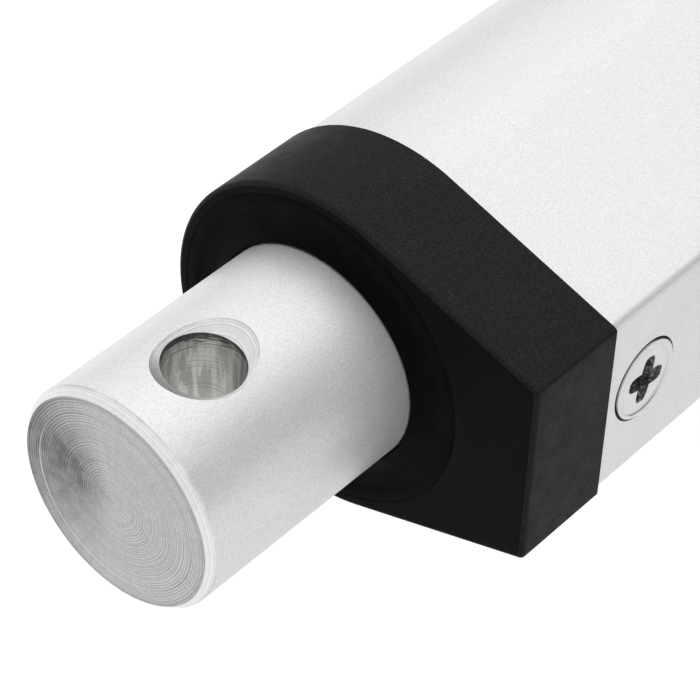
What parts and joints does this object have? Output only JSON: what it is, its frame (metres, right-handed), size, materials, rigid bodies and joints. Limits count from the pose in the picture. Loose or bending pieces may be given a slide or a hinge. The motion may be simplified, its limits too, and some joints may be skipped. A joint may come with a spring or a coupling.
{
  "type": "linear actuator",
  "caption": "Electric linear actuator: tubular rod with a cross hole, drop-shaped aluminium tube, black caps, side motor and a rear mounting eye.",
  "frame": {"origin": "centre of the rear eye's bore, halfway through the lug", "axes": "+X along the rod, the way it extends; +Y from the lead screw to the motor; +Z along the rear eye's pin"},
  "size_m": [0.2235, 0.081, 0.04],
  "materials": {
    "black_casting": "matt black paint on a die casting",
    "black_moulding": "fine matt moulded plastic",
    "anodised_tube": "fine satin, clear anodised extrusion",
    "anodised_shell": "satin, clear anodised tube",
    "blasted_rod": "bead blasted and anodised",
    "turned_plug": "faced on a lathe, fine rings",
    "bright_steel": "ground steel",
    "bearing_steel": "polished bearing steel",
    "screw_steel": "rolled thread with a film of grease",
    "spring_steel": "dark spring steel",
    "sintered_steel": "sintered steel",
    "zinc_screw": "zinc plated",
    "zinc_plate": "zinc plated sheet steel",
    "lamination_steel": "stacked laminations",
    "bronze": "oil filled sintered bronze",
    "brass": "machined brass",
    "tinned_brass": "tinned",
    "copper": "turned copper",
    "enamelled_copper": "enamelled copper wire",
    "ferrite": "dark ceramic ferrite",
    "carbon": "pressed carbon",
    "acetal": "natural acetal",
    "dark_moulding": "dark moulded plastic",
    "red_button": "moulded button",
    "black_rubber": "soft matt rubber",
    "gasket_fibre": "pressed fibre",
    "circuit_board": "green solder mask"
  },
  "bodies": {
    "housing": {"rear_cover": "black_casting", "rear_eye_bush": "bright_steel", "tail_bush": "bronze", "cover_gasket": "gasket_fibre", "cover_screws": "zinc_screw", "gear_housing": "black_casting", "tube_screws": "zinc_screw", "bearing_retainer": "bright_steel", "body_tube": "anodised_tube", "cap_screw": "zinc_screw", "front_cap": "black_moulding", "guide_bush": "acetal", "wiper_seal": "black_rubber", "bearing_outer_ring": "bearing_steel", "idler_axle": "bright_steel", "idler_washers": "bronze", "motor_can": "zinc_plate", "motor_magnets": "ferrite", "motor_bushes": "bronze", "brush_plate": "dark_moulding", "motor_brushes": "carbon", "motor_terminals": "tinned_brass", "motor_screws": "zinc_screw", "motor_shell": "anodised_shell", "shell_screws": "zinc_screw", "motor_end_cap": "black_moulding", "end_cap_screws": "zinc_screw", "cable_grommet": "black_rubber", "switch_board": "circuit_board", "rear_switch": "dark_moulding", "front_switch": "dark_moulding"},
    "rod": {"rod_tube": "blasted_rod", "rod_end_plug": "turned_plug", "drive_nut": "acetal", "nut_pins": "bright_steel"},
    "screw": {"lead_screw": "screw_steel", "screw_end_guide": "acetal", "guide_clip": "spring_steel", "shaft_clips": "spring_steel", "spindle_gear": "sintered_steel", "gear_key": "bright_steel", "bearing_inner_ring": "bearing_steel"},
    "ball_cage": {"bearing_balls": "bearing_steel", "bearing_cage": "bronze"},
    "idler": {"idler_wheel": "acetal", "idler_pinion": "sintered_steel"},
    "rotor": {"motor_pinion": "brass", "motor_shaft": "bright_steel", "armature_core": "lamination_steel", "armature_windings": "enamelled_copper", "commutator": "copper"},
    "rear_button": {"rear_plunger": "red_button"},
    "front_button": {"front_plunger": "red_button"}
  },
  "joints": [
    {"name": "rod_slide", "type": "slide", "parent": "housing", "child": "rod", "axis": [1, 0, 0], "range_m": [0, 0.1]},
    {"name": "motor_spin", "type": "hinge", "parent": "housing", "child": "rotor", "pos_m": [0.08, 0.04215, 0], "axis": [-1, 0, 0], "range_deg": [0, 89011]},
    {"name": "idler_spin", "type": "hinge", "parent": "housing", "child": "idler", "pos_m": [0.03, 0.0215, 0], "axis": [-1, 0, 0], "range_deg": [-27693, 0]},
    {"name": "screw_spin", "type": "hinge", "parent": "housing", "child": "screw", "pos_m": [0.04, 0, 0], "axis": [-1, 0, 0], "range_deg": [0, 12001]},
    {"name": "cage_spin", "type": "hinge", "parent": "housing", "child": "ball_cage", "pos_m": [0.04, 0, 0], "axis": [-1, 0, 0], "range_deg": [0, 4413]},
    {"name": "rear_button_press", "type": "slide", "parent": "housing", "child": "rear_button", "axis": [-1, 0, 0], "range_m": [0, 0.0008], "stiffness_N_per_m": 700, "springref_m": -0.0003},
    {"name": "front_button_press", "type": "slide", "parent": "housing", "child": "front_button", "axis": [1, 0, 0], "range_m": [0, 0.0008], "stiffness_N_per_m": 700, "springref_m": -0.0003}
  ],
  "couplings": [
    {"joint": "screw_spin", "follows": "rod_slide", "rad_per_m": 2094.4},
    {"joint": "cage_spin", "follows": "rod_slide", "rad_per_m": 770.18},
    {"joint": "idler_spin", "follows": "rod_slide", "rad_per_m": -4833.2},
    {"joint": "motor_spin", "follows": "rod_slide", "rad_per_m": 15535}
  ]
}
